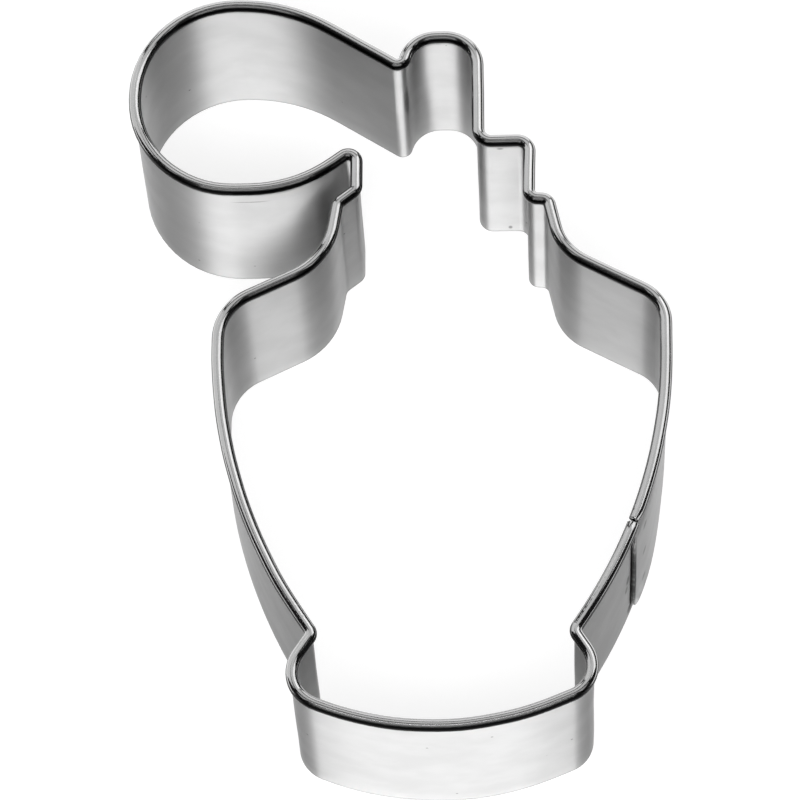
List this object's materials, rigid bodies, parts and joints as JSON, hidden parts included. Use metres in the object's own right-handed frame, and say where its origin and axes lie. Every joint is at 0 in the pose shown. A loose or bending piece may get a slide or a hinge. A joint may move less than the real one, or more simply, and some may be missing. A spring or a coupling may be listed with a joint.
{
  "type": "cookie cutter",
  "caption": "Sheet-steel cookie cutter shaped as a perfume bottle with a squeeze bulb: an open bent strip with a rolled rim, a plain cutting edge and a spot-welded lap joint.",
  "frame": {"origin": "middle of the cutter's footprint, on the plane of the cutting edge", "axes": "+Z from the cutting edge up to the rolled rim, +Y from the foot of the bottle to its stopper, +X to the right seen from above, so the bulb lies on the -X side"},
  "size_m": [0.0544, 0.0798, 0.0214],
  "materials": {
    "polished_steel": "satin wall, polished rim",
    "weld_steel": "dull, heat-darkened"
  },
  "bodies": {
    "root": {"cutter_strip": "polished_steel", "spot_weld_lower": "weld_steel", "spot_weld_middle": "weld_steel", "spot_weld_upper": "weld_steel"}
  },
  "joints": []
}
